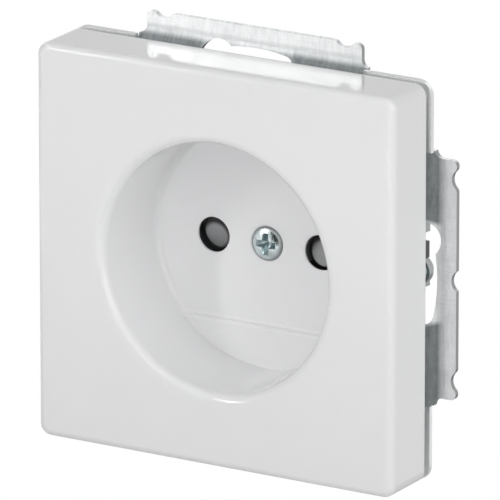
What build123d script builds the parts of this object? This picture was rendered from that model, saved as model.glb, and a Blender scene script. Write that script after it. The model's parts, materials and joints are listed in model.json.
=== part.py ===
"""Flush wall socket without earth contact: a square cover with a round plug recess, held by
one screw to an insert with a pressed steel support ring, spreading claws and a turning shutter.

Millimetres. The origin is the middle of the wall plane. X points right seen from the room,
Y points into the wall and Z points up.
"""

import os
from math import atan, cos, hypot, radians, sin, sqrt, tan

from build123d import *

os.makedirs("parts", exist_ok=True)

# Cover, measured on its outside
cover_width = 63.0
cover_depth = 9.9
cover_wall = 2.0
cover_corner_r = 2.0
cover_edge_r = 1.2
cover_post_r = 2.0
cover_rib = 1.2
cover_rib_drop = 2.5

# Plug recess
recess_r = 19.75
recess_depth = 16.15
recess_wall = 1.8
recess_rim_r = 1.5
recess_step_drop = 13.1
recess_step_height = 0.9
recess_floor_r = 1.0
floor_thick = 1.5
boss_r = 4.2
boss_height = 0.9

# Pins of the plug
pin_pitch = 19.0
pin_hole_r = 2.8
pin_hole_lip = 0.85
pin_hole_edge = 0.3
pin_hole_flare = 45.0
pin_length = 19.0
pin_tip_room = 0.5

# Support ring, pressed from one sheet
sheet = 0.8
joggle = 1.7
joggle_run = 3.25
joggle_reach = 0.6
joggle_bend_r = 3.0
plate_width = 63.3
plate_corner_r = 2.5
cover_gap = 1.2
tab_width = 37.9
tab_shift = 0.35
tab_reach = 3.55
tab_corner_r = 0.9
tab_foot_r = 1.2
notch_r = 1.9
notch_depth = 0.85
notch_inset = 3.0
middle_notch_rise = 0.3
box_screw_circle = 60.0
box_slot_width = 4.0
box_slot_turn = 10.0
keyhole_r = 3.2
keyhole_turn = 12.2
ring_clearance = 0.75

# Base moulding
base_clearance = 0.35
cup_wall = 1.9
cup_floor = 1.7
flange_thick = 2.0
flange_rim = 3.8
base_width = 32.4
base_height = 41.0
base_corner_r = 4.0
base_wall = 1.4
base_rear_wall = 1.5
base_rear_chamfer = 2.0
pillar_width = 9.2
fit_gap = 0.1

# Shutter
shutter_turn = 40.0
shutter_pad_r = 2.5
shutter_lobe_r = 3.5
shutter_arm = 5.0
shutter_hub_r = 5.0
shutter_thick = 1.5
shutter_ramp = 10.0
shutter_gap = 0.35
shutter_running = 0.05
post_r = 3.25
housing_floor = 2.4
cover_seat_gap = 0.25
spring_strip = 0.6
spring_thick = 0.3
spring_coil_r = 4.2
spring_turn = 300.0
spring_leg = 2.2
spring_room = 0.9
spring_leg_gap = 0.3

# Screws, rivets and nut
screw_r = 1.45
screw_head_r = 2.75
screw_cone = 90.0
screw_dome = 0.7
screw_hole_r = 1.65
screw_past_nut = 2.7
screw_tip_room = 1.0
drive_slot = 0.7
drive_length = 3.0
drive_depth = 1.2
drive_taper = 12.0
nut_width = 5.5
nut_thick = 1.8
rivet_r = 1.2
rivet_head_r = 1.8
rivet_head = 0.8
claw_screw_r = 1.25
claw_screw_head_r = 2.2
claw_screw_head = 2.0
claw_screw_length = 10.7
claw_screw_slot = 0.8
claw_head_margin = 0.1

# Contacts and screwless terminals
contact_sheet = 0.8
contact_bore_r = 2.3
contact_length = 9.0
contact_gap_half_angle = 35.0
contact_setback = 1.0
contact_tail = 3.0
bar_end_room = 1.5
bar_depth = 8.0
clamp_sheet = 0.5
clamp_width = 6.4
clamp_bend_r = 1.2
terminal_inset = 5.6
wire_hole_r = 1.9
wire_funnel_r = 2.5
wire_inset = 3.0
wire_drop = 4.4

# Release keys, one for the two terminals of a pole
key_travel = 2.2
key_stop_gap = 0.3
key_thick = 1.6
key_width = 4.4
key_inner = 7.2
finger_drop = 7.8
finger_height = 1.6
finger_width = 2.2
finger_gap = 0.2
finger_tip_gap = 0.3

# Spreading claws
claw_sheet = 1.2
claw_width = 11.0
claw_drop = 1.2
claw_lug_width = 4.4
claw_seat_gap = 0.2
claw_lean = 0.8
claw_leg = 5.5
claw_prong = 4.0
claw_flare = 0.6
claw_prong_gap = 6.4
claw_lug_setback = 0.25
claw_pivot_reach = 3.6
claw_turn = 20.0
claw_eye_gap = 0.15
claw_bay_room = 1.0
claw_guide = 2.6
claw_guide_gap = 0.4
claw_guide_inset = 0.5

# Depths behind the wall plane, worked out from the sizes above
plate_rear = -joggle
plate_front = plate_rear - sheet
cover_rear = plate_front - cover_gap
cover_front = cover_rear - cover_depth
floor_front = cover_front + recess_depth
floor_rear = floor_front + floor_thick
lip_rear = floor_front + pin_hole_lip
boss_rear = floor_rear + boss_height
pad_front = lip_rear + shutter_gap
shutter_front = boss_rear + cover_seat_gap
shutter_rear = shutter_front + shutter_thick
housing_front = floor_rear + cover_seat_gap
pan_front = shutter_rear + shutter_gap
housing_rear = pan_front + housing_floor
coil_depth = pan_front + spring_strip
cup_rear = housing_front + cup_floor
flange_rear = plate_rear + flange_thick
chamber_rear = floor_front + pin_length + pin_tip_room
base_rear = chamber_rear + base_rear_wall
nut_front = housing_rear + fit_gap
nut_rear = nut_front + nut_thick
screw_tip = nut_rear + screw_past_nut
contact_front = housing_rear + contact_setback
contact_rear = contact_front + contact_length
contact_middle = (contact_front + contact_rear) / 2

# Radii and half sizes, worked out from the sizes above
half_cover = cover_width / 2
half_plate = plate_width / 2
half_tab = tab_width / 2
half_foot = half_tab + tab_foot_r
tab_out = half_plate + tab_reach
joggle_out = half_plate + joggle_reach
joggle_in = joggle_out - joggle_run
tab_root = joggle_in - joggle_bend_r
tab_bay = half_plate - joggle_in + joggle_bend_r / 2
recess_outer_r = recess_r + recess_wall
ring_opening_r = recess_outer_r + ring_clearance
cup_inner_r = recess_outer_r + base_clearance
cup_outer_r = cup_inner_r + cup_wall
flange_r = cup_outer_r + flange_rim
rivet_circle_r = cup_outer_r + flange_rim / 2
post_spot = half_cover - cover_wall - 1.5 * cover_post_r
pin_x = pin_pitch / 2
pad_sweep_r = shutter_lobe_r + shutter_gap
arm_meets_lobe = hypot(pin_x - sqrt(shutter_lobe_r**2 - shutter_arm**2 / 4), shutter_arm / 2)
pin_flare_r = pin_hole_r + (pin_hole_lip - pin_hole_edge) * tan(radians(pin_hole_flare))
relief_in_r = pin_x - pin_flare_r - fit_gap
relief_out_r = pin_x + pin_flare_r + fit_gap
hub_bore_r = post_r + shutter_running
spring_hole_r = hypot(spring_strip, spring_thick) / 2 + fit_gap
chamber_out = base_width / 2 - base_wall - fit_gap
chamber_in = pillar_width / 2
chamber_top = base_height / 2 - base_wall - fit_gap
bar_height = 2 * (chamber_top - bar_end_room)
terminal_rise = chamber_top - terminal_inset
wire_rise = chamber_top - wire_drop
finger_rise = chamber_top - finger_drop
clamp_out = chamber_out - fit_gap
bar_in = chamber_in + fit_gap
bar_out = bar_in + contact_sheet
wire_x = chamber_in + wire_inset
clamp_x = clamp_out - clamp_sheet / 2
clamp_rear = chamber_rear - fit_gap - clamp_sheet / 2
clamp_fold_x = clamp_x - 2 * clamp_bend_r
clamp_edge_x = bar_out + 2 * clamp_sheet
clamp_slope = atan((clamp_rear - contact_middle) / (clamp_fold_x - clamp_edge_x))
key_x = key_inner + key_width / 2
key_front = base_rear + key_stop_gap + key_travel
leg_above_finger = clamp_rear - (clamp_fold_x - key_x - finger_width / 2) * tan(clamp_slope)
finger_tip = leg_above_finger + clamp_sheet / 2 / cos(clamp_slope) + finger_tip_gap
claw_screw_x = ring_opening_r + claw_screw_head_r + claw_head_margin
claw_pivot_x = claw_screw_x - claw_pivot_reach
claw_pivot_y = cup_rear
claw_seat_x = claw_pivot_x - claw_sheet / 2 - claw_seat_gap
claw_bay_front = claw_pivot_y - claw_sheet / 2 - claw_seat_gap
claw_bay_height = claw_width + 2 * claw_drop + 2 * claw_bay_room
claw_guide_in = cup_outer_r - cup_wall / 2
claw_guide_out = flange_r - claw_guide_inset
claw_guide_rise = claw_lug_width / 2 + claw_guide_gap + claw_guide / 2 - claw_drop
claw_lug_end = claw_screw_x + claw_lug_width / 2 + claw_lug_setback


def at_depth(depth):
    """Plane facing the room, at a depth behind the wall plane."""
    return Plane.XZ.offset(-depth)


def turned(angle):
    """Place turned about the middle axis, clockwise seen from the room."""
    return Location((0, 0, 0), (0, angle, 0))


# One tab of the support ring: an S-shaped section cut to the outline of the tab
with BuildPart() as ring_tab:
    with BuildSketch(Plane.YZ.offset(-tab_shift)):
        with BuildLine():
            FilletPolyline(
                (plate_front + sheet / 2, tab_root),
                (plate_front + sheet / 2, joggle_in),
                (-sheet / 2, joggle_out),
                (-sheet / 2, tab_out),
                radius=joggle_bend_r,
            )
        trace(line_width=sheet)
    extrude(amount=half_foot, both=True)
    with BuildSketch(at_depth(plate_front - sheet)):
        with Locations((-tab_shift, (tab_root + half_plate) / 2)):
            Rectangle(2 * half_foot, half_plate - tab_root)
        with Locations((-tab_shift, (half_plate + tab_out) / 2)):
            Rectangle(2 * half_tab, tab_out - half_plate)
        for side in (-1, 1):
            with Locations((side * (half_tab + tab_foot_r / 2) - tab_shift, half_plate + tab_foot_r / 2)):
                Rectangle(tab_foot_r, tab_foot_r)
            with Locations((side * half_foot - tab_shift, half_plate + tab_foot_r)):
                Circle(tab_foot_r, mode=Mode.SUBTRACT)
            with Locations((side * (half_tab - notch_inset) - tab_shift, tab_out + notch_r - notch_depth)):
                Circle(notch_r, mode=Mode.SUBTRACT)
    extrude(amount=-2 * (joggle + sheet), mode=Mode.INTERSECT)
    tab_corners = ring_tab.edges().filter_by(Axis.Y).group_by(Axis.Z)[-1]
    fillet(tab_corners, tab_corner_r)

# Support ring: square plate, four tabs set back to the wall, keyhole slots for the box screws
with BuildPart() as support_ring:
    with BuildSketch(at_depth(plate_front)):
        RectangleRounded(plate_width, plate_width, plate_corner_r)
        Circle(ring_opening_r, mode=Mode.SUBTRACT)
        with PolarLocations(rivet_circle_r, 4, start_angle=45):
            Circle(rivet_r + fit_gap, mode=Mode.SUBTRACT)
        for quarter in range(4):
            with Locations(Location((0, 0, 0), (0, 0, 90 * quarter))):
                with Locations((-tab_shift, half_plate)):
                    Rectangle(2 * (half_foot - fit_gap), 2 * tab_bay, mode=Mode.SUBTRACT)
    extrude(amount=-sheet)
    for quarter in range(4):
        with Locations(turned(90 * quarter)):
            add(ring_tab.part)
    with BuildSketch(at_depth(plate_front - sheet)):
        for quarter in range(4):
            slot_end = 90 - box_slot_turn - 90 * quarter
            slot_start = 90 + keyhole_turn - 90 * quarter
            with BuildLine() as slot_path:
                CenterArc((0, 0), box_screw_circle / 2, slot_end, slot_start - slot_end)
            SlotArc(slot_path.edge(), box_slot_width)
            with Locations(Vector(box_screw_circle / 2, 0).rotate(Axis.Z, slot_start)):
                Circle(keyhole_r)
        for side in (-1, 1):
            with Locations((side * (tab_out + notch_r - notch_depth), side * middle_notch_rise)):
                Circle(notch_r)
            with Locations((side * claw_screw_x, -side * claw_drop)):
                Circle(claw_screw_r + claw_seat_gap)
    extrude(amount=-2 * (joggle + sheet), mode=Mode.SUBTRACT)
support_ring.part.label = "support_ring"
export_step(support_ring.part, "parts/support_ring.step")

# Cover: hollow square cap with the plug recess moulded in
with BuildPart() as cover_plate:
    with BuildSketch(at_depth(cover_front)):
        RectangleRounded(cover_width, cover_width, cover_corner_r)
    extrude(amount=-cover_depth)
    front_edges = cover_plate.faces().sort_by(Axis.Y)[0].edges()
    fillet(front_edges, cover_edge_r)
    with BuildSketch(at_depth(cover_front + cover_wall)):
        Rectangle(cover_width - 2 * cover_wall, cover_width - 2 * cover_wall)
    extrude(amount=-cover_depth, mode=Mode.SUBTRACT)
    with BuildSketch(at_depth(cover_front + cover_wall)):
        for quarter in range(4):
            with Locations(Location((0, 0, 0), (0, 0, 45 + 90 * quarter))):
                with Locations((post_spot * sqrt(2) / 2, 0)):
                    Rectangle(post_spot * sqrt(2), cover_rib)
    extrude(amount=-(cover_depth - cover_wall - cover_rib_drop))
    with BuildSketch(at_depth(cover_front + cover_wall)):
        with GridLocations(2 * post_spot, 2 * post_spot, 2, 2):
            Circle(cover_post_r)
    extrude(amount=-(plate_front - cover_front - cover_wall))
    with BuildSketch(at_depth(cover_front + cover_wall)):
        Circle(recess_outer_r)
    extrude(amount=-(floor_rear - cover_front - cover_wall))
    with BuildSketch(at_depth(floor_rear)):
        Circle(boss_r)
    extrude(amount=-boss_height)
    with BuildSketch(Plane.XY):
        with BuildLine():
            Polyline(
                (0, floor_front),
                (0, cover_front),
                (recess_r, cover_front),
                (recess_r, floor_front - recess_floor_r),
            )
            RadiusArc(
                (recess_r, floor_front - recess_floor_r),
                (recess_r - recess_floor_r, floor_front),
                -recess_floor_r,
            )
            Line((recess_r - recess_floor_r, floor_front), (0, floor_front))
        make_face()
    revolve(axis=Axis.Y, mode=Mode.SUBTRACT)
    with BuildSketch(at_depth(floor_front - recess_step_height)):
        Circle(recess_r + recess_wall / 2)
        with Locations((0, recess_outer_r - recess_step_drop)):
            Rectangle(2 * recess_outer_r, 2 * recess_outer_r, mode=Mode.SUBTRACT)
    extrude(amount=-(recess_step_height + floor_thick / 2))
    front_circles = cover_plate.faces().sort_by(Axis.Y)[0].edges().filter_by(GeomType.CIRCLE)
    fillet(front_circles.sort_by(SortBy.RADIUS)[-1], recess_rim_r)
    with BuildSketch(at_depth(floor_rear)):
        Circle(relief_out_r)
        Circle(relief_in_r, mode=Mode.SUBTRACT)
    extrude(amount=floor_rear - lip_rear, mode=Mode.SUBTRACT)
    with BuildSketch(at_depth(floor_front)):
        with GridLocations(pin_pitch, 1, 2, 1):
            Circle(pin_hole_r)
    extrude(amount=-floor_thick, mode=Mode.SUBTRACT)
    with BuildSketch(at_depth(lip_rear)):
        with GridLocations(pin_pitch, 1, 2, 1):
            Circle(pin_flare_r)
    extrude(amount=pin_hole_lip - pin_hole_edge, taper=pin_hole_flare, mode=Mode.SUBTRACT)
    with Locations(Plane(origin=(0, floor_front, 0), z_dir=(0, -1, 0))):
        CounterSinkHole(screw_hole_r, screw_head_r + fit_gap, counter_sink_angle=screw_cone)
cover_plate.part.label = "cover_plate"
export_step(cover_plate.part, "parts/cover_plate.step")

# Cover screw: raised countersunk head with a cross recess
with BuildPart() as cover_screw:
    head_cone = (screw_head_r - screw_r) / tan(radians(screw_cone / 2))
    with BuildSketch(Plane.XY):
        with BuildLine():
            Polyline(
                (0, floor_front - screw_dome),
                (0, screw_tip),
                (screw_r, screw_tip),
                (screw_r, floor_front + head_cone),
                (screw_head_r, floor_front),
            )
            dome_r = (screw_head_r**2 + screw_dome**2) / (2 * screw_dome)
            RadiusArc((screw_head_r, floor_front), (0, floor_front - screw_dome), dome_r)
        make_face()
    revolve(axis=Axis.Y)
    with BuildSketch(at_depth(floor_front - screw_dome)):
        Rectangle(drive_length, drive_slot)
        Rectangle(drive_slot, drive_length)
    extrude(amount=-drive_depth, taper=drive_taper, mode=Mode.SUBTRACT)
cover_screw.part.label = "cover_screw"
export_step(cover_screw.part, "parts/cover_screw.step")

# Ramped pad of the shutter, which the end of a plug pin pushes aside
with BuildPart() as shutter_pad:
    with BuildSketch(at_depth(shutter_front)):
        with Locations((pin_x, 0)):
            Circle(shutter_pad_r)
    extrude(amount=shutter_front - pad_front)
    ramp_drop = shutter_pad_r * tan(radians(shutter_ramp))
    split(
        bisect_by=Plane(
            origin=(pin_x, pad_front + ramp_drop, 0),
            x_dir=(1, 0, 0),
            z_dir=(0, -cos(radians(shutter_ramp)), sin(radians(shutter_ramp))),
        ),
        keep=Keep.BOTTOM,
    )

# Shutter: two lobes on a hub that turns on the post of its housing
with BuildPart() as shutter:
    with BuildSketch(at_depth(shutter_front)):
        Circle(shutter_hub_r)
        Rectangle(pin_pitch, shutter_arm)
        with GridLocations(pin_pitch, 1, 2, 1):
            Circle(shutter_lobe_r)
        Circle(hub_bore_r, mode=Mode.SUBTRACT)
        with Locations((0, spring_coil_r)):
            Circle(spring_hole_r, mode=Mode.SUBTRACT)
    extrude(amount=-shutter_thick)
    for half_turn in (0, 180):
        with Locations(turned(half_turn)):
            add(shutter_pad.part)
shutter.part.label = "shutter"
export_step(shutter.part, "parts/shutter.step")

# Shutter spring: one open turn of flat wire, one end in the shutter and one in the housing
with BuildPart() as shutter_spring:
    with BuildSketch(Plane.YZ):
        with Locations((coil_depth, spring_coil_r)):
            Rectangle(spring_strip, spring_thick)
    revolve(axis=Axis.Y, revolution_arc=spring_turn)
    with BuildSketch(at_depth(shutter_front)):
        with Locations((0, spring_coil_r)):
            Rectangle(spring_strip, spring_thick)
    extrude(amount=-(coil_depth + spring_strip / 2 - shutter_front))
    leg_plane = Plane(
        origin=(0, coil_depth, 0),
        z_dir=(sin(radians(spring_turn)), 0, cos(radians(spring_turn))),
        x_dir=(0, 1, 0),
    )
    with BuildSketch(leg_plane.offset(spring_coil_r)):
        Rectangle(spring_strip, spring_thick)
    extrude(amount=spring_leg)
shutter_spring.part.label = "shutter_spring"
export_step(shutter_spring.part, "parts/shutter_spring.step")

# Shutter housing: closes the contact chambers and carries the shutter on its middle post
with BuildPart() as shutter_housing:
    housing_width = base_width - 2 * base_wall - 2 * fit_gap
    housing_height = base_height - 2 * base_wall - 2 * fit_gap
    with BuildSketch(at_depth(housing_front)):
        RectangleRounded(housing_width, housing_height, base_corner_r - base_wall)
    extrude(amount=-(housing_rear - housing_front))
    with BuildSketch(at_depth(housing_front)):
        Circle(arm_meets_lobe + shutter_gap)
        for start in (0, 180):
            with BuildLine() as sweep_path:
                CenterArc((0, 0), pin_x, start, -shutter_turn)
            SlotArc(sweep_path.edge(), 2 * pad_sweep_r)
    extrude(amount=-(pan_front - housing_front), mode=Mode.SUBTRACT)
    with BuildSketch(at_depth(pan_front)):
        Circle(spring_coil_r + spring_room)
        with Locations(Location((0, 0, 0), (0, 0, 90 - spring_turn))):
            with Locations(((spring_coil_r + spring_leg + spring_room) / 2, 0)):
                Rectangle(spring_coil_r + spring_leg + spring_room, spring_thick + 2 * spring_leg_gap)
    extrude(amount=-2 * spring_strip, mode=Mode.SUBTRACT)
    with BuildSketch(at_depth(boss_rear)):
        Circle(post_r)
    extrude(amount=-(housing_rear - boss_rear))
    with BuildSketch(at_depth(boss_rear)):
        Circle(screw_hole_r)
        with GridLocations(pin_pitch, 1, 2, 1):
            Circle(pin_hole_r)
    extrude(amount=-(housing_rear - boss_rear), mode=Mode.SUBTRACT)
shutter_housing.part.label = "shutter_housing"
export_step(shutter_housing.part, "parts/shutter_housing.step")

# Base: cup for the plug recess with a flange for the ring, and a box with the contact chambers
with BuildPart() as base:
    with BuildSketch(at_depth(plate_rear)):
        Circle(flange_r)
    extrude(amount=-flange_thick)
    with BuildSketch(at_depth(plate_rear)):
        Circle(cup_outer_r)
    extrude(amount=-(cup_rear - plate_rear))
    with BuildSketch(at_depth(housing_front)):
        RectangleRounded(base_width, base_height, base_corner_r)
    extrude(amount=-(base_rear - housing_front))
    rear_edges = base.faces().sort_by(Axis.Y)[-1].edges()
    chamfer(rear_edges, base_rear_chamfer)
    for side in (-1, 1):
        with BuildSketch(Plane.XY.offset(-side * claw_drop)):
            with BuildLine():
                Polyline(
                    (side * (base_width / 2 - base_wall), housing_front),
                    (side * claw_seat_x, housing_front),
                    (side * claw_seat_x, claw_pivot_y),
                    (side * (claw_seat_x - claw_lean / 2), claw_pivot_y + claw_leg / 2),
                    (side * (base_width / 2 - base_wall), claw_pivot_y + claw_leg / 2),
                    close=True,
                )
            make_face()
        extrude(amount=claw_width / 2, both=True)
        with BuildSketch(Plane.XY):
            swing_reach = flange_r - claw_pivot_x
            with BuildLine():
                Polyline(
                    (side * claw_seat_x, claw_bay_front),
                    (side * claw_pivot_x, claw_bay_front),
                    (side * flange_r, claw_bay_front - swing_reach * tan(radians(claw_turn))),
                    (side * flange_r, claw_pivot_y + claw_leg),
                    (side * claw_seat_x, claw_pivot_y + claw_leg),
                    close=True,
                )
            make_face()
        extrude(amount=claw_bay_height / 2, both=True, mode=Mode.SUBTRACT)
        with BuildSketch(at_depth(plate_rear)):
            with Locations((side * (cup_outer_r + flange_rim), 0)):
                Rectangle(2 * flange_rim, claw_bay_height)
            with Locations((side * claw_screw_x, -side * claw_drop)):
                Circle(claw_screw_r + claw_seat_gap)
        extrude(amount=-(cup_rear - plate_rear), mode=Mode.SUBTRACT)
        with BuildSketch(at_depth(plate_rear)):
            with Locations((side * (claw_guide_in + claw_guide_out) / 2, side * claw_guide_rise)):
                Rectangle(claw_guide_out - claw_guide_in, claw_guide)
        extrude(amount=-(claw_bay_front - plate_rear))
    with BuildSketch(at_depth(plate_rear)):
        Circle(cup_inner_r)
    extrude(amount=-(housing_front - plate_rear), mode=Mode.SUBTRACT)
    with BuildSketch(at_depth(housing_front)):
        RectangleRounded(base_width - 2 * base_wall, base_height - 2 * base_wall, base_corner_r - base_wall)
    extrude(amount=-(housing_rear - housing_front), mode=Mode.SUBTRACT)
    with BuildSketch(at_depth(housing_rear)):
        with GridLocations(chamber_in + chamber_out, 1, 2, 1):
            Rectangle(chamber_out - chamber_in, 2 * chamber_top)
    extrude(amount=-(chamber_rear - housing_rear), mode=Mode.SUBTRACT)
    with BuildSketch(at_depth(housing_rear)):
        Rectangle(nut_width + 2 * fit_gap, nut_width + 2 * fit_gap)
    extrude(amount=-(nut_rear - housing_rear), mode=Mode.SUBTRACT)
    with BuildSketch(at_depth(housing_rear)):
        Circle(screw_hole_r)
    extrude(amount=-(screw_tip + screw_tip_room - housing_rear), mode=Mode.SUBTRACT)
    with BuildSketch(at_depth(plate_rear)):
        with PolarLocations(rivet_circle_r, 4, start_angle=45):
            Circle(rivet_r + fit_gap)
    extrude(amount=-flange_thick, mode=Mode.SUBTRACT)
    with BuildSketch(at_depth(chamber_rear)):
        with GridLocations(2 * key_x, 2 * finger_rise, 2, 2):
            Rectangle(finger_width + 2 * finger_gap, finger_height + 2 * finger_gap)
    extrude(amount=-base_rear_wall, mode=Mode.SUBTRACT)
    with Locations(Plane(origin=(0, base_rear, 0), z_dir=(0, 1, 0), x_dir=(1, 0, 0))):
        with GridLocations(2 * wire_x, 2 * wire_rise, 2, 2):
            CounterSinkHole(wire_hole_r, wire_funnel_r, depth=base_rear_wall, counter_sink_angle=screw_cone)
base.part.label = "base"
export_step(base.part, "parts/base.step")

# Rivets that hold the ring on the flange of the base
with BuildPart() as ring_rivets:
    with BuildSketch(at_depth(plate_front - rivet_head)):
        with PolarLocations(rivet_circle_r, 4, start_angle=45):
            Circle(rivet_head_r)
    extrude(amount=-rivet_head)
    with BuildSketch(at_depth(plate_front)):
        with PolarLocations(rivet_circle_r, 4, start_angle=45):
            Circle(rivet_r)
    extrude(amount=-(flange_rear - plate_front))
    with BuildSketch(at_depth(flange_rear)):
        with PolarLocations(rivet_circle_r, 4, start_angle=45):
            Circle(rivet_head_r)
    extrude(amount=-rivet_head)
    head_rims = ring_rivets.edges().filter_by(GeomType.CIRCLE).group_by(Axis.Y)
    chamfer(head_rims[0] + head_rims[-1], rivet_head / 2)
ring_rivets.part.label = "ring_rivets"
export_step(ring_rivets.part, "parts/ring_rivets.step")

# Nut of the cover screw, held in the pillar between the chambers
with BuildPart() as screw_nut:
    with BuildSketch(at_depth(nut_front)):
        Rectangle(nut_width, nut_width)
        Circle(screw_r, mode=Mode.SUBTRACT)
    extrude(amount=-nut_thick)
screw_nut.part.label = "screw_nut"
export_step(screw_nut.part, "parts/screw_nut.step")

# Contact: split sleeve round the pin on a bar that serves both terminals of a pole
with BuildPart() as right_contact:
    with BuildSketch(at_depth(contact_front)):
        with Locations((pin_x, 0)):
            Circle(contact_bore_r + contact_sheet)
            Circle(contact_bore_r, mode=Mode.SUBTRACT)
        gap_reach = 2 * contact_bore_r
        with BuildLine():
            Polyline(
                (pin_x, 0),
                (pin_x + gap_reach, gap_reach * tan(radians(contact_gap_half_angle))),
                (pin_x + gap_reach, -gap_reach * tan(radians(contact_gap_half_angle))),
                close=True,
            )
        make_face(mode=Mode.SUBTRACT)
    extrude(amount=-contact_length)
    with BuildSketch(at_depth(contact_middle - bar_depth / 2)):
        with Locations(((bar_in + bar_out) / 2, 0)):
            Rectangle(contact_sheet, bar_height)
        tail_end = pin_x - contact_bore_r - contact_sheet / 2
        with Locations(((bar_in + tail_end) / 2, 0)):
            Rectangle(tail_end - bar_in, contact_tail)
    extrude(amount=-bar_depth)
right_contact.part.label = "right_contact"
export_step(right_contact.part, "parts/right_contact.step")

with BuildPart() as left_contact:
    add(right_contact.part)
    mirror(about=Plane.YZ, mode=Mode.REPLACE)
left_contact.part.label = "left_contact"
export_step(left_contact.part, "parts/left_contact.step")

# Clamping springs: a leaf folded so that its free edge bears on the wire, one for each terminal
for side, side_name in ((-1, "left"), (1, "right")):
    for rise, rise_name in ((-1, "lower"), (1, "upper")):
        clamp_name = f"{rise_name}_{side_name}_clamp"
        with BuildPart() as clamp:
            with BuildSketch(Plane.XY.offset(rise * terminal_rise)):
                with BuildLine():
                    FilletPolyline(
                        (side * clamp_x, contact_front),
                        (side * clamp_x, clamp_rear),
                        (side * clamp_fold_x, clamp_rear),
                        (side * clamp_edge_x, contact_middle),
                        radius=clamp_bend_r / 2,
                    )
                trace(line_width=clamp_sheet)
            extrude(amount=clamp_width / 2, both=True)
        clamp.part.label = clamp_name
        export_step(clamp.part, f"parts/{clamp_name}.step")

# Release keys: a thumb bar behind the base with two fingers that reach the clamping springs
for side, side_name in ((-1, "left"), (1, "right")):
    with BuildPart() as release_key:
        with BuildSketch(at_depth(key_front)):
            with Locations((side * key_x, 0)):
                RectangleRounded(key_width, 2 * finger_rise + finger_height, key_width / 4)
        extrude(amount=-key_thick)
        thumb_edges = release_key.faces().sort_by(Axis.Y)[-1].edges()
        chamfer(thumb_edges, key_thick / 4)
        with BuildSketch(at_depth(finger_tip)):
            with Locations((side * key_x, finger_rise), (side * key_x, -finger_rise)):
                Rectangle(finger_width, finger_height)
        extrude(amount=-(key_front - finger_tip))
    release_key.part.label = f"{side_name}_release_key"
    export_step(release_key.part, f"parts/{side_name}_release_key.step")

# Spreading claws: a lug on the claw screw, a bend that rocks in its seat, and a forked leg
knee = (claw_pivot_x - claw_lean, claw_pivot_y + claw_leg)
tip = (knee[0] + claw_flare, knee[1] + claw_prong)
eye_reach = claw_pivot_reach / cos(radians(claw_turn)) + claw_sheet * tan(radians(claw_turn)) / 2
eye_end = claw_pivot_x + eye_reach + claw_screw_r / cos(radians(claw_turn)) + claw_eye_gap
eye_start = claw_screw_x - claw_screw_r - claw_eye_gap
with BuildPart() as right_claw:
    with BuildSketch(Plane.XY.offset(-claw_drop)):
        with BuildLine():
            Line((claw_pivot_x, claw_pivot_y), (claw_lug_end, claw_pivot_y))
        trace(line_width=claw_sheet)
        with BuildLine():
            FilletPolyline((claw_pivot_x, claw_pivot_y), knee, tip, radius=2 * claw_sheet)
        trace(line_width=claw_sheet)
        with Locations((claw_pivot_x, claw_pivot_y)):
            Circle(claw_sheet / 2)
    extrude(amount=claw_width / 2, both=True)
    with BuildSketch(at_depth(claw_pivot_y - claw_sheet)):
        with Locations(((claw_pivot_x + claw_lug_end) / 2 + claw_sheet, -claw_drop)):
            Rectangle(claw_lug_end - claw_pivot_x, 2 * claw_width)
        with Locations(((claw_pivot_x + claw_screw_x) / 2, -claw_drop)):
            Rectangle(claw_screw_x - claw_pivot_x, claw_lug_width, mode=Mode.SUBTRACT)
        with Locations((claw_lug_end - claw_lug_width / 2, -claw_drop)):
            Circle(claw_lug_width / 2, mode=Mode.SUBTRACT)
        with Locations(((eye_start + eye_end) / 2, -claw_drop)):
            SlotOverall(eye_end - eye_start, 2 * (claw_screw_r + claw_eye_gap))
    extrude(amount=-2 * claw_sheet, mode=Mode.SUBTRACT)
    with BuildSketch(Plane.YZ):
        with Locations((knee[1] + claw_prong, -claw_drop)):
            SlotOverall(2 * claw_prong, claw_prong_gap)
    extrude(amount=2 * claw_screw_x, mode=Mode.SUBTRACT)
right_claw.part.label = "right_claw"
export_step(right_claw.part, "parts/right_claw.step")

with BuildPart() as left_claw:
    with Locations(turned(180)):
        add(right_claw.part)
left_claw.part.label = "left_claw"
export_step(left_claw.part, "parts/left_claw.step")

# Claw screws, with slotted cheese heads on the front of the ring
claw_screw_spots = [(claw_screw_x, -claw_drop), (-claw_screw_x, claw_drop)]
with BuildPart() as claw_screws:
    with BuildSketch(at_depth(plate_front - claw_screw_head)):
        with Locations(*claw_screw_spots):
            Circle(claw_screw_head_r)
            Rectangle(2 * claw_screw_head_r, claw_screw_slot, mode=Mode.SUBTRACT)
    extrude(amount=-claw_screw_head)
    with BuildSketch(at_depth(plate_front - claw_screw_head / 2)):
        with Locations(*claw_screw_spots):
            Circle(claw_screw_head_r)
    extrude(amount=-claw_screw_head / 2)
    with BuildSketch(at_depth(plate_front)):
        with Locations(*claw_screw_spots):
            Circle(claw_screw_r)
    extrude(amount=-claw_screw_length)
claw_screws.part.label = "claw_screws"
export_step(claw_screws.part, "parts/claw_screws.step")
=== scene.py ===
import json
from math import cos, radians, sin

import bpy
from mathutils import Matrix, Vector


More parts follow.
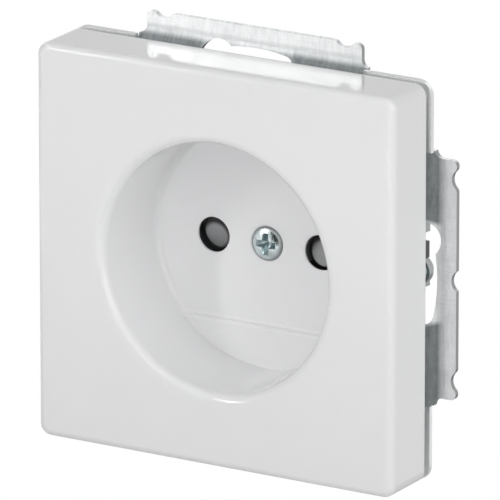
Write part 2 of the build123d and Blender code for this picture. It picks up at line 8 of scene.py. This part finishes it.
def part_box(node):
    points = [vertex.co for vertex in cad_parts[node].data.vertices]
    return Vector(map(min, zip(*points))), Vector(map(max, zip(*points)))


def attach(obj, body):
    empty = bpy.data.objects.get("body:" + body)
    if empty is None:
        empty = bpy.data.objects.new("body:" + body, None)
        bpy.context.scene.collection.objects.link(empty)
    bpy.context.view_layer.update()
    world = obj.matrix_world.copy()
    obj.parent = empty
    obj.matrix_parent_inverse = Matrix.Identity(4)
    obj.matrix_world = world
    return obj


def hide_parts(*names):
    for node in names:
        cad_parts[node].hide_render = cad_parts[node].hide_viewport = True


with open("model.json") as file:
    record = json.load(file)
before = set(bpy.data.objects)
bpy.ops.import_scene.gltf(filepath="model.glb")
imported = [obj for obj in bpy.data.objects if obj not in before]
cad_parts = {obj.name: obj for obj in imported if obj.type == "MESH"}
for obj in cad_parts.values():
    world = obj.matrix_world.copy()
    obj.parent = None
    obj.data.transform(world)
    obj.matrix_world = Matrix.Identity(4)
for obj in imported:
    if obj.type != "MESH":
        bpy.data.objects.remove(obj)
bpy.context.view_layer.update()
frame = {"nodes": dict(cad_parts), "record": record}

bpy.ops.object.select_all(action="DESELECT")

MM = 0.001


class Wire:
    """One output of a shader node. Sums of wires and numbers add Math nodes."""

    def __init__(self, nodes, socket):
        self.nodes = nodes
        self.socket = socket

    def __add__(self, other):
        return self.nodes.math("ADD", self, other)

    def __radd__(self, other):
        return self.nodes.math("ADD", other, self)

    def __sub__(self, other):
        return self.nodes.math("SUBTRACT", self, other)

    def __rsub__(self, other):
        return self.nodes.math("SUBTRACT", other, self)

    def __mul__(self, other):
        return self.nodes.math("MULTIPLY", self, other)

    def __rmul__(self, other):
        return self.nodes.math("MULTIPLY", other, self)

    def __abs__(self):
        return self.nodes.math("ABSOLUTE", self, 0.0)


class Nodes:
    """A shader tree to which nodes are added one by one."""

    def __init__(self, tree):
        self.tree = tree

    def node(self, kind, settings=None, sockets=None, out=0):
        """Adds a node, sets it up, fills its sockets and returns one of its outputs."""
        made = self.tree.nodes.new("ShaderNode" + kind)
        for name, value in (settings or {}).items():
            if name == "stops":
                ramp = made.color_ramp
                while len(ramp.elements) < len(value):
                    ramp.elements.new(0.5)
                for stop, (place, colour) in zip(ramp.elements, value):
                    stop.position = place
                    stop.color = colour
            else:
                setattr(made, name, value)
        for name, value in (sockets or {}).items():
            self.fill(made.inputs[name], value)
        return Wire(self, made.outputs[out])

    def fill(self, socket, value):
        """Links a wire to a socket, or writes a plain value on it."""
        if isinstance(value, Wire):
            self.tree.links.new(value.socket, socket)
        else:
            socket.default_value = value

    def show(self, shader, colour, roughness, metallic, normal):
        """Fills the main sockets of a finish."""
        self.fill(shader.inputs["Base Color"], colour)
        self.fill(shader.inputs["Roughness"], roughness)
        self.fill(shader.inputs["Metallic"], metallic)
        self.fill(shader.inputs["Normal"], normal)

    def math(self, operation, first, second):
        return self.node("Math", {"operation": operation}, {0: first, 1: second})

    def place(self, scale=(1, 1, 1), turn=(0, 0, 0)):
        """Object coordinates, stretched and turned."""
        spot = self.node("TexCoord", out="Object")
        turned = tuple(radians(angle) for angle in turn)
        return self.node("Mapping", {}, {"Vector": spot, "Rotation": turned, "Scale": scale})

    def along(self, source, axis):
        """One axis of the object coordinates or of the normal."""
        whole = self.node("TexCoord", out=source)
        return self.node("SeparateXYZ", {}, {"Vector": whole}, out=axis)

    def at(self, axis):
        """The place along one axis of the part, in mm."""
        return self.along("Object", axis) * (1 / MM)

    def apart(self, first, second):
        """The distance that belongs to two offsets at right angles."""
        return self.math("SQRT", first * first + second * second, 0.0)

    def noise(self, spot, scale=1.0, detail=2.0, rough=0.5):
        sockets = {"Vector": spot, "Scale": scale, "Detail": detail, "Roughness": rough}
        return self.node("TexNoise", {}, sockets, out="Fac")

    def between(self, factor, low, high):
        """A colour from low to high by a factor. Each is a colour or a wire."""
        ends = [end if isinstance(end, Wire) else (*end, 1) for end in (low, high)]
        sockets = {0: factor, 6: ends[0], 7: ends[1]}
        return self.node("Mix", {"data_type": "RGBA"}, sockets, out=2)

    def ramp(self, factor, *stops):
        """A grey ramp over a factor, as one number."""
        grey = [(place, (value, value, value, 1)) for place, value in stops]
        return self.node("ValToRGB", {"stops": grey}, {"Fac": factor})

    def rounded(self, radius):
        """A normal that turns softly over the edges."""
        return self.node("Bevel", {"samples": 8}, {"Radius": radius})

    def edge(self, radius):
        """How near a face is to its edges, from 0 to 1."""
        plain = self.node("NewGeometry", out="Normal")
        sockets = {0: self.rounded(radius), 1: plain}
        alike = self.node("VectorMath", {"operation": "DOT_PRODUCT"}, sockets, out="Value")
        return self.ramp(1.0 - alike, (0.02, 0.0), (0.2, 1.0))

    def bump(self, height, distance, normal=None):
        """A normal with fine relief, on a given normal if there is one."""
        sockets = {"Height": height, "Distance": distance}
        if normal is not None:
            sockets["Normal"] = normal
        return self.node("Bump", {}, sockets)


def new_finish(name):
    """A new material, its tree and the shader that shows."""
    material = bpy.data.materials.new(name)
    material.use_nodes = True
    nodes = Nodes(material.node_tree)
    return material, nodes, material.node_tree.nodes["Principled BSDF"]


def glossy_white():
    """White moulding, softer and duller along the step across the recess floor, with a painted
    highlight on the step itself.
    """
    material, nodes, shader = new_finish("glossy_white")
    spot = nodes.place()
    flow = nodes.noise(spot, 45.0, 3.0)
    ripple = nodes.noise(spot, 210.0)
    grain = nodes.noise(spot, 5200.0)
    step_z, before_step = -13.1, 1.0
    from_step = abs(nodes.at("Z") - step_z)
    near_floor = nodes.ramp(nodes.at("Y") - before_step, (0.3, 0.0), (0.6, 1.0))
    by_step = nodes.ramp(from_step, (0.4, 1.0), (0.6, 0.0)) * near_floor
    painted_step_highlight = nodes.ramp(from_step, (0.1, 1.0), (0.2, 0.0)) * by_step
    white = nodes.between(flow, (0.89, 0.892, 0.897), (0.92, 0.922, 0.927))
    # Painted highlight: the step is paler, as a rounded edge catching the lamp would be
    white = nodes.between(painted_step_highlight, white, (0.985, 0.985, 0.985))
    roughness = 0.05 + 0.05 * ripple + 0.015 * grain + 0.28 * by_step
    relief = nodes.bump(ripple + 0.06 * grain, 0.02 * MM, nodes.rounded(0.4 * MM))
    nodes.show(shader, white, roughness, 0.0, relief)
    return material


def grey_moulding(name, dark, light, rough):
    """Dull moulding with flow marks, grain and rubbed edges."""
    material, nodes, shader = new_finish(name)
    spot = nodes.place()
    flow = nodes.noise(spot, 160.0, 4.0)
    grain = nodes.noise(spot, 4200.0, 3.0)
    colour = nodes.between(0.7 * flow + 0.3 * grain, dark, light)
    rubbed = nodes.edge(0.3 * MM) * nodes.ramp(flow, (0.4, 0.2), (0.6, 1.0))
    paler = tuple(1.25 * part + 0.02 for part in light)
    colour = nodes.between(0.7 * rubbed, colour, paler)
    roughness = rough + 0.12 * flow + 0.06 * grain - 0.08 * rubbed
    nodes.show(shader, colour, roughness, 0.0, nodes.bump(grain, 0.03 * MM))
    return material


def shutter_pads(dark, light, rough):
    """Grey moulding with a paler disc on each pad and painted shade round it, where the lip of the
    pin hole shades the pad; dull there too.
    """
    material, nodes, shader = new_finish("grey_plastic")
    spot = nodes.place()
    flow = nodes.noise(spot, 420.0, 4.0, 0.6)
    grain = nodes.noise(spot, 4200.0, 3.0)
    pin_x, disc_left, disc_down = 9.5, 0.5, 0.65
    disc_edge, pad_edge = 1.7, 3.0
    across = abs(nodes.at("X") + disc_left) - pin_x
    from_disc = nodes.apart(across, nodes.at("Z") + disc_down)
    # Painted shade, near black and rougher, round a disc set a little left of and below each pin
    # axis
    painted_lip_shade = nodes.ramp(from_disc - disc_edge, (0.0, 0.0), (0.6, 1.0))
    painted_lip_shade = painted_lip_shade * nodes.ramp(from_disc - pad_edge, (0.0, 1.0), (0.5, 0.0))
    colour = nodes.between(0.6 * flow + 0.4 * grain, dark, light)
    colour = nodes.between(painted_lip_shade, colour, (0.03, 0.031, 0.033))
    roughness = rough + 0.12 * flow + 0.06 * grain + 0.2 * painted_lip_shade
    nodes.show(shader, colour, roughness, 0.0, nodes.bump(grain, 0.03 * MM))
    return material


def galvanised(name):
    """Start of a galvanised finish: streaks, cloudy tone and scratches of the sheet."""
    material, nodes, shader = new_finish(name)
    spot = nodes.place()
    streak = nodes.noise(nodes.place((2300.0, 500.0, 380.0)), 1.0, 4.0, 0.6)
    cloud = nodes.noise(spot, 300.0, 4.0, 0.6)
    speck = nodes.noise(spot, 1900.0, 3.0, 0.6)
    scratch = nodes.noise(nodes.place((190.0, 400.0, 6400.0), (0, 12, 0)), 1.0, 2.0, 0.5)
    tone = nodes.ramp(0.4 * streak + 0.35 * cloud + 0.25 * speck, (0.38, 0.0), (0.6, 1.0))
    rubbed = nodes.ramp(scratch, (0.62, 0.0), (0.7, 1.0))
    sheet = nodes.between(tone, (0.83, 0.845, 0.85), (0.97, 0.977, 0.98))
    sheet = nodes.between(0.2 * rubbed, sheet, (0.4, 0.41, 0.41))
    relief = nodes.bump(cloud + 0.5 * streak, 0.03 * MM)
    return material, nodes, shader, sheet, tone, speck, relief


def galvanised_sheet():
    """Darker galvanised strip with bright worn edges."""
    material, nodes, shader, sheet, tone, speck, relief = galvanised("galvanised_sheet")
    sheet = nodes.between(0.7 + 0.2 * speck, sheet, (0.24, 0.25, 0.255))
    sheet = nodes.between(0.5 * nodes.edge(0.16 * MM), sheet, (0.6, 0.61, 0.615))
    nodes.show(shader, sheet, 0.36 - 0.06 * tone, 1.0, relief)
    return material


def painted_tab_fold_shade(nodes, facing, across, height, along_tab, behind_plate):
    """How much painted shade the webs of the tabs get where they turn away from the light, from 0
    to 1.
    """
    side_fold, upper_fold, upper_spread = 33.04, 33.5, 2.0
    slot_middle, paler_at_top, more_at_sides = 0.12, 0.15, 0.55
    to_front = nodes.ramp(0.0 - facing, (0.4, 0.0), (0.7, 1.0))
    painted_fold_shade = nodes.ramp(side_fold - across, (0.0, 0.0), (1.0, 1.0))
    from_upper = (1 / upper_spread) * (upper_fold - height)
    painted_fold_shade = painted_fold_shade * nodes.ramp(from_upper, (0.0, 0.0), (1.0, 1.0)) * to_front
    painted_fold_shade = painted_fold_shade * nodes.ramp(behind_plate, (0.0, 0.0), (0.1, 1.0))
    # Beside its slot a web gets less painted shade, a little at the top and more at the sides
    beside_slot = nodes.ramp(abs(along_tab - slot_middle), (0.76, 1.0), (0.84, 0.0))
    at_side = nodes.ramp(across - height, (0.0, 0.0), (1.0, 1.0))
    return painted_fold_shade * (1.0 - beside_slot * (paler_at_top + more_at_sides * at_side))


def pressed_ring():
    """Galvanised ring with painted shade in its folds, sheared edges with painted light where they
    face up, and a dull burr round its plate with painted light on it.
    """
    material, nodes, shader, sheet, tone, speck, relief = galvanised("pressed_ring")
    plate_front, plate_edge, tab_end, tab_reach = -2.45, 31.15, 20.2, 31.25
    facing = nodes.along("Normal", "Y")
    spot_x, spot_z = nodes.at("X"), nodes.at("Z")
    across, height = abs(spot_x), abs(spot_z)
    behind_plate = nodes.at("Y") - plate_front
    # From the plate to the tabs, which are set back from it
    at_tab = nodes.ramp(0.4 * behind_plate, (0.35, 0.0), (0.6, 1.0))
    # Centimetres along a tab from its middle, positive towards its keyhole
    keyhole_side = nodes.math("SIGN", across - height, 0.0)
    along_tab = spot_x * spot_z * keyhole_side * (0.1 / tab_reach)

    # Painted shade in the folds: the webs are darker where they turn away from the light, and
    # rougher
    painted_fold_shade = painted_tab_fold_shade(nodes, facing, across, height, along_tab, behind_plate)
    fold_shade_colour = nodes.between(tone, (0.165, 0.18, 0.185), (0.235, 0.253, 0.257))
    sheet = nodes.between(painted_fold_shade, sheet, fold_shade_colour)
    sheet = nodes.between(0.6 * nodes.edge(0.16 * MM), sheet, (0.36, 0.37, 0.375))

    sheared = nodes.ramp(abs(facing), (0.25, 1.0), (0.5, 0.0))
    # Cut edges: dark on the tabs, pale on the plate, with painted light on the tab edges that face
    # up
    upward = nodes.ramp(nodes.along("Normal", "Z"), (0.6, 0.0), (0.95, 1.0))
    painted_upward_light = upward * (0.35 + 0.65 * tone)
    tab_side = nodes.between(painted_upward_light, (0.28, 0.288, 0.292), (0.86, 0.87, 0.875))
    side = nodes.between(at_tab, (0.85, 0.86, 0.865), tab_side)
    sheet = nodes.between(sheared, sheet, side)

    # Round the plate's outline: a dull, less metallic burr with painted light on it, weaker towards
    # the bottom
    outermost = nodes.math("MAXIMUM", across, height)
    innermost = nodes.math("MINIMUM", across, height)
    burr_and_painted_light = nodes.ramp(outermost - plate_edge, (0.0, 0.0), (0.25, 1.0))
    burr_and_painted_light = burr_and_painted_light * nodes.ramp(innermost - tab_end, (0.0, 0.0), (0.8, 1.0))
    painted_light_to_top = nodes.ramp(0.02 * spot_z + 0.5, (0.2, 0.25), (0.8, 1.0))
    burr_and_painted_light = burr_and_painted_light * (1.0 - at_tab) * painted_light_to_top
    pale = nodes.between(speck, (0.8, 0.805, 0.81), (0.96, 0.96, 0.96))
    sheet = nodes.between(burr_and_painted_light, sheet, pale)

    roughness = 0.36 - 0.06 * tone + 0.25 * painted_fold_shade + 0.2 * burr_and_painted_light
    nodes.show(shader, sheet, roughness, 1.0 - 0.9 * burr_and_painted_light, relief)
    return material


def worn_plating(nodes, fineness, detail, rough):
    """Cloudy tone and fine scratches of plated or drawn metal."""
    cloud = nodes.noise(nodes.place(), fineness, detail, rough)
    drawn = nodes.place((3800.0, 260.0, 900.0), (20, 35, 10))
    return cloud, nodes.noise(drawn, 1.0, 3.0, 0.6)


def plated_screw(front, reach):
    """Bright zinc, dull and with painted shade in the recess of the head and along its rim."""
    material, nodes, shader = new_finish("plated_screw")
    cloud, scratch = worn_plating(nodes, 900.0, 4.0, 0.6)
    tone = nodes.ramp(0.6 * cloud + 0.4 * scratch, (0.35, 0.0), (0.65, 1.0))
    rim_start = 2.1
    from_axis = nodes.apart(nodes.at("X"), nodes.at("Z"))
    inside = nodes.ramp(from_axis - reach, (0.0, 1.0), (0.2, 0.0))
    painted_recess_shade = nodes.ramp(nodes.at("Y") - front, (0.18, 0.0), (0.5, 1.0)) * inside
    painted_rim_shade = nodes.ramp(from_axis - rim_start, (0.0, 0.0), (0.4, 1.0))
    plate = nodes.between(tone, (0.52, 0.6, 0.61), (0.8, 0.87, 0.87))
    # Painted shade in the cross recess and in a band round the rim of the head
    plate = nodes.between(0.8 * painted_recess_shade, plate, (0.3, 0.38, 0.4))
    plate = nodes.between(0.8 * painted_rim_shade, plate, (0.26, 0.27, 0.27))
    roughness = 0.1 + 0.1 * scratch + 0.2 * painted_rim_shade + 0.15 * painted_recess_shade
    nodes.show(shader, plate, roughness, 1.0, nodes.bump(cloud + 0.4 * scratch, 0.05 * MM))
    return material


def bright_metal(name, dark, light, rough):
    """Bare or plated metal with a cloudy tone and fine scratches."""
    material, nodes, shader = new_finish(name)
    cloud, scratch = worn_plating(nodes, 700.0, 3.0, 0.5)
    colour = nodes.between(0.6 * cloud + 0.4 * scratch, dark, light)
    relief = nodes.bump(cloud + 0.4 * scratch, 0.02 * MM)
    nodes.show(shader, colour, rough + 0.14 * scratch, 1.0, relief)
    return material


finishes = {
    "white_cover": glossy_white(),
    "grey_plastic": shutter_pads((0.28, 0.285, 0.29), (0.44, 0.445, 0.45), 0.36),
    "insert_plastic": grey_moulding(
        "insert_plastic", (0.045, 0.048, 0.052), (0.075, 0.08, 0.085), 0.42
    ),
    "key_plastic": grey_moulding("key_plastic", (0.5, 0.51, 0.52), (0.58, 0.59, 0.6), 0.38),
    "galvanised_sheet": galvanised_sheet(),
    "zinc": bright_metal("zinc", (0.46, 0.54, 0.55), (0.74, 0.81, 0.81), 0.14),
    "spring_steel": bright_metal("spring_steel", (0.5, 0.5, 0.52), (0.68, 0.68, 0.7), 0.16),
    "contact_metal": bright_metal("contact_metal", (0.72, 0.52, 0.24), (0.88, 0.68, 0.38), 0.18),
}
ring_finish = pressed_ring()
for part in frame["record"]["subparts"]:
    node = frame["nodes"][part["node"]]
    is_ring = part["node"] == "support_ring"
    node.data.materials.clear()
    node.data.materials.append(ring_finish if is_ring else finishes[part["material_slot"]])


def work_on(piece):
    """Makes a piece the only one that is selected."""
    bpy.ops.object.select_all(action="DESELECT")
    piece.select_set(True)
    bpy.context.view_layer.objects.active = piece


def apply_place(piece):
    """Writes a piece's place, turn and scale into its mesh."""
    work_on(piece)
    bpy.ops.object.transform_apply(location=True, rotation=True, scale=True)


def face_outwards():
    """Turns all faces of the piece in edit mode outwards and leaves that mode."""
    bpy.ops.mesh.select_all(action="SELECT")
    bpy.ops.mesh.normals_make_consistent(inside=False)
    bpy.ops.object.mode_set(mode="OBJECT")


def disc(name, sides, radius, middle, turn=0.0):
    """A flat disc that faces the room, the start of a turned or cut shape."""
    bpy.ops.object.select_all(action="DESELECT")
    bpy.ops.mesh.primitive_circle_add(
        vertices=sides,
        radius=radius * MM,
        fill_type="NGON",
        location=Vector(middle) * MM,
        rotation=(radians(90), radians(turn), 0),
    )
    piece = bpy.context.active_object
    piece.name = name
    apply_place(piece)
    return piece


def pick_corners(piece, wanted):
    """Opens a piece for editing with only the wanted corners selected."""
    work_on(piece)
    bpy.ops.object.mode_set(mode="EDIT")
    bpy.ops.mesh.select_mode(type="VERT")
    bpy.ops.mesh.select_all(action="DESELECT")
    bpy.ops.object.mode_set(mode="OBJECT")
    for corner in piece.data.vertices:
        corner.select = wanted(corner.co)
    bpy.ops.object.mode_set(mode="EDIT")


def pull(rings, middle):
    """Extrudes the selected face along the rings of (depth, radius), front to rear."""
    for (depth, radius), (deeper, wider) in zip(rings, rings[1:]):
        step = (0, (deeper - depth) * MM, 0)
        bpy.ops.mesh.extrude_region_move(TRANSFORM_OT_translate={"value": step})
        centre = Vector((middle[0], deeper, middle[1])) * MM
        bpy.ops.transform.resize(value=(wider / radius, 1, wider / radius), center_override=centre)


def turned_piece(name, middle, rings, sides=48):
    """A solid turned about an axis into the wall, at middle (x, z)."""
    depth, radius = rings[0]
    piece = disc(name, sides, radius, (middle[0], depth, middle[1]))
    bpy.ops.object.mode_set(mode="EDIT")
    bpy.ops.mesh.select_all(action="SELECT")
    pull(rings, middle)
    face_outwards()
    return piece


def dome(front, height, radius, steps=6):
    """Rings of a domed head, from near the middle of its front to its rim."""
    first_step = 0.35
    rings = []
    for step in range(steps):
        angle = radians(90) * (step + first_step) / (steps - 1 + first_step)
        rings.append((front + height * (1 - cos(angle)), radius * sin(angle)))
    return rings


def finish_with(piece, kind, **settings):
    """Adds a modifier with its settings and applies it."""
    work_on(piece)
    modifier = piece.modifiers.new("shape", kind)
    for name, value in settings.items():
        setattr(modifier, name, value)
    bpy.ops.object.modifier_apply(modifier=modifier.name)


def cut_out(piece, tool):
    """Takes the tool's shape out of a piece and throws the tool away."""
    finish_with(piece, "BOOLEAN", operation="DIFFERENCE", object=tool, solver="EXACT")
    bpy.data.objects.remove(tool, do_unlink=True)


def soften(piece, width):
    """Rounds the sharp edges of a piece."""
    sharp = radians(38)
    finish_with(
        piece, "BEVEL", width=width * MM, segments=2, limit_method="ANGLE", angle_limit=sharp
    )


def wind_thread(shank, middle, start, end, crest, root, pitch):
    """Winds a three-sided ridge round a shank and joins the two."""
    ridge_width, turn_steps, merge_distance = 0.55 * pitch, 24, 0.001 * MM
    # A ring of three corners is one and a half times its radius high
    ridge_radius = (crest - root) / 1.5
    bpy.ops.object.select_all(action="DESELECT")
    bpy.ops.mesh.primitive_circle_add(
        vertices=3,
        radius=MM,
        fill_type="NOTHING",
        location=Vector((crest - ridge_radius, start + pitch / 2, 0)) * MM,
        rotation=(0, 0, radians(-90)),
        scale=(ridge_width, ridge_radius, 1),
    )
    ridge = bpy.context.active_object
    apply_place(ridge)
    finish_with(
        ridge,
        "SCREW",
        axis="Y",
        screw_offset=pitch * MM,
        iterations=int((end - start) / pitch) - 1,
        steps=turn_steps,
        render_steps=turn_steps,
    )
    bpy.ops.object.mode_set(mode="EDIT")
    bpy.ops.mesh.select_all(action="SELECT")
    bpy.ops.mesh.remove_doubles(threshold=merge_distance)
    bpy.ops.mesh.fill_holes(sides=4)
    face_outwards()
    ridge.location = Vector((middle[0], 0, middle[1])) * MM
    apply_place(ridge)
    shank.select_set(True)
    bpy.context.view_layer.objects.active = shank
    bpy.ops.object.join()


def turned_copy(piece, name, turn):
    """A copy with its own mesh, turned about the middle axis."""
    work_on(piece)
    bpy.ops.object.duplicate()
    copy = bpy.context.active_object
    copy.name = name
    copy.rotation_euler = (0, radians(turn), 0)
    apply_place(copy)
    return copy


def dress(piece, node, slot, finish=None):
    """Gives a finished piece its look and puts it in the place of a node."""
    work_on(piece)
    bpy.ops.object.shade_smooth_by_angle(angle=radians(32))
    piece.data.materials.clear()
    piece.data.materials.append(finish or finishes[slot])
    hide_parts(node)
    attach(piece, "insert")


# Cover screw: domed countersunk head, cross recess and wound thread
lowest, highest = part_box("cover_screw")
head_front, screw_tip = lowest[1] / MM, highest[1] / MM
head_radius, dome_height, rim_height, cone_end = 2.75, 0.7, 0.12, 1.55
shank_radius, tip_radius, tip_length = 1.2, 0.8, 0.5
head_rim = head_front + dome_height
rings = dome(head_front, dome_height, head_radius, 8)
rings += [(head_rim + rim_height, head_radius), (head_rim + cone_end, shank_radius)]
rings += [(screw_tip - tip_length, shank_radius), (screw_tip, tip_radius)]
screw = turned_piece("cover_screw_turned", (0, 0), rings, 64)

# The cross starts as a disc of twelve sides, with the corners between its arms drawn in
cross_front, cross_radius, drawn_in = head_front - 0.2, 2.0, 0.46
cross = disc("cross", 12, cross_radius, (0, cross_front, 0), 15)
pick_corners(cross, lambda spot: abs(abs(spot.x) - abs(spot.z)) < 0.1 * MM)
bpy.ops.transform.resize(
    value=(drawn_in, 1, drawn_in), center_override=(0, cross_front * MM, 0)
)
bpy.ops.mesh.select_all(action="SELECT")
cross_rings = [(cross_front, cross_radius), (head_front + 0.9, 1.4), (head_front + 1.5, 0.4)]
pull(cross_rings, (0, 0))
face_outwards()
cut_out(screw, cross)
soften(screw, 0.05)
thread_start, thread_end = head_rim + 2.0, screw_tip - 0.6
wind_thread(screw, (0, 0), thread_start, thread_end, crest=1.45, root=1.15, pitch=0.5)
dress(screw, "cover_screw", "zinc", plated_screw(head_front, reach=1.95))

# Claw screws: slotted cheese heads and wound threads
lowest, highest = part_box("claw_screws")
head_front, screw_tip = lowest[1] / MM, highest[1] / MM
head_radius, head_length, shank_radius, tip_radius = 2.2, 2.0, 1.03, 0.7
slot_length, slot_depth, slot_width = 5.0, 1.0, 0.8
spot_x, spot_z = highest[0] / MM - head_radius, -1.2
rings = [(head_front, 1.9), (head_front + 0.12, 2.1), (head_front + 0.3, head_radius)]
rings += [(head_front + head_length, head_radius), (head_front + head_length, shank_radius)]
rings += [(screw_tip - tip_length, shank_radius), (screw_tip, tip_radius)]
claw_screw = turned_piece("right_claw_screw", (spot_x, spot_z), rings)
bpy.ops.object.select_all(action="DESELECT")
bpy.ops.mesh.primitive_cube_add(
    size=MM,
    location=Vector((spot_x, head_front, spot_z)) * MM,
    scale=(slot_length, 2 * slot_depth, slot_width),
)
slot_tool = bpy.context.active_object
apply_place(slot_tool)
cut_out(claw_screw, slot_tool)
soften(claw_screw, 0.06)
thread_start, thread_end = head_front + 2.6, screw_tip - 0.6
wind_thread(
    claw_screw, (spot_x, spot_z), thread_start, thread_end, crest=1.25, root=1.0, pitch=0.45
)
other_screw = turned_copy(claw_screw, "left_claw_screw", 180)
for piece in (claw_screw, other_screw):
    dress(piece, "claw_screws", "zinc")

# Rivets: domed on the ring and on the flange
lowest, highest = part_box("ring_rivets")
head_front, head_rear = lowest[1] / MM, highest[1] / MM
head_radius, dome_height, shank_radius = 1.8, 0.8, 1.15
spot = highest[0] / MM - head_radius
front_dome = dome(head_front, dome_height, head_radius)
rear_dome = [(head_rear - (depth - head_front), radius) for depth, radius in reversed(front_dome)]
shank = [(head_front + dome_height, shank_radius), (head_rear - dome_height, shank_radius)]
rivet = turned_piece("upper_right_rivet", (spot, spot), front_dome + shank + rear_dome, 32)
rivets = [rivet]
for name, turn in (("lower_right_rivet", 90), ("lower_left_rivet", 180), ("upper_left_rivet", 270)):
    rivets.append(turned_copy(rivet, name, turn))
for piece in rivets:
    dress(piece, "ring_rivets", "zinc")

# Camera at the photograph's viewing angle, with a long lens
azimuth, elevation = radians(30.76), radians(17.02)
camera_distance, cover_front, aim_right, aim_up = 1.5, -13.6, 5.63, 3.08
back = Vector((sin(azimuth) * cos(elevation), -cos(azimuth) * cos(elevation), sin(elevation)))
right = Vector((cos(azimuth), sin(azimuth), 0))
above = back.cross(right)
aim = Vector((0, cover_front * MM, 0)) + aim_right * MM * right + aim_up * MM * above
lens = bpy.data.cameras.new("viewpoint")
lens.lens = 711.7
lens.sensor_width = 36.0
lens.clip_start = 0.05
viewpoint = bpy.data.objects.new("viewpoint", lens)
turn = Matrix((right, above, back)).transposed().to_4x4()
viewpoint.matrix_world = Matrix.Translation(aim + camera_distance * back) @ turn
bpy.context.scene.collection.objects.link(viewpoint)
bpy.context.scene.camera = viewpoint


def plain_grey(name, grain, dark, light, rough):
    """An even grey with a faint grain."""
    material, nodes, shader = new_finish(name)
    speck = nodes.noise(nodes.place(), grain, 3.0)
    colour = nodes.between(speck, (dark, dark, dark), (light, light, light))
    nodes.fill(shader.inputs["Base Color"], colour)
    nodes.fill(shader.inputs["Roughness"], rough)
    return material


def studio_sheet(name, finish, size, middle, tilt=0.0):
    """A flat square of the studio, with its finish."""
    bpy.ops.object.select_all(action="DESELECT")
    bpy.ops.mesh.primitive_plane_add(size=size, location=middle, rotation=(radians(tilt), 0, 0))
    sheet = bpy.context.active_object
    sheet.name = name
    apply_place(sheet)
    sheet.data.materials.append(finish)
    return sheet


# Pale floor below the part
floor_finish = plain_grey("pale_floor", 30.0, 0.88, 0.9, rough=0.7)
floor = studio_sheet("floor", floor_finish, size=1.0, middle=(0, 0, -0.25))

# White surroundings, with softer light from them on the part
world = bpy.data.worlds.new("studio")
world.use_nodes = True
bpy.context.scene.world = world
nodes = Nodes(world.node_tree)
seen = nodes.node("LightPath", out="Is Camera Ray")
mirrored = nodes.node("LightPath", out="Is Glossy Ray")
through = nodes.node("LightPath", out="Is Transmission Ray")
shown = nodes.math("MAXIMUM", nodes.math("MAXIMUM", seen, mirrored), through)
soft_light = 0.32
surround = world.node_tree.nodes["Background"]
surround.inputs["Color"].default_value = (1, 1, 1, 1)
nodes.fill(surround.inputs["Strength"], soft_light + (1 - soft_light) * shown)


def soft_lamp(name, direction, distance, size, watts):
    """A large area lamp that points at the part."""
    light = bpy.data.lights.new(name, "AREA")
    light.shape = "RECTANGLE"
    light.size, light.size_y = size
    light.energy = watts
    lamp = bpy.data.objects.new(name, light)
    lamp.location = Vector(direction).normalized() * distance
    lamp.rotation_euler = Vector(direction).to_track_quat("Z", "Y").to_euler()
    bpy.context.scene.collection.objects.link(lamp)
    return lamp


soft_lamp("key_light", (-0.561, -0.765, 0.31), distance=0.8, size=(0.05, 0.34), watts=0.95)
soft_lamp("fill_light", (0.6, -0.68, 0.42), distance=0.6, size=(0.7, 0.6), watts=1.0)
soft_lamp("side_light", (0.95, -0.28, 0.2), distance=0.7, size=(0.5, 0.5), watts=1.1)
soft_lamp("top_light", (0.0, -0.5, 0.86), distance=0.7, size=(0.6, 0.4), watts=0.4)

# Narrow lamp in front that lights the upper part of the cover more than the lower
pool = soft_lamp("front_light", (0.0, -1.0, 0.1), distance=0.8, size=(0.3, 0.08), watts=0.008)
pool.location.z += 20 * MM
pool.data.spread = radians(8)
pool.visible_glossy = False

# Dark card in front of the part, seen only in reflections
card_finish = plain_grey("dark_card", 40.0, 0.004, 0.008, rough=0.9)
card = studio_sheet("dark_card", card_finish, size=0.29, middle=(0.03, -0.45, 0.05), tilt=90)
card.visible_camera = False
card.visible_diffuse = False
card.visible_shadow = False

bpy.context.scene.view_settings.view_transform = "Standard"
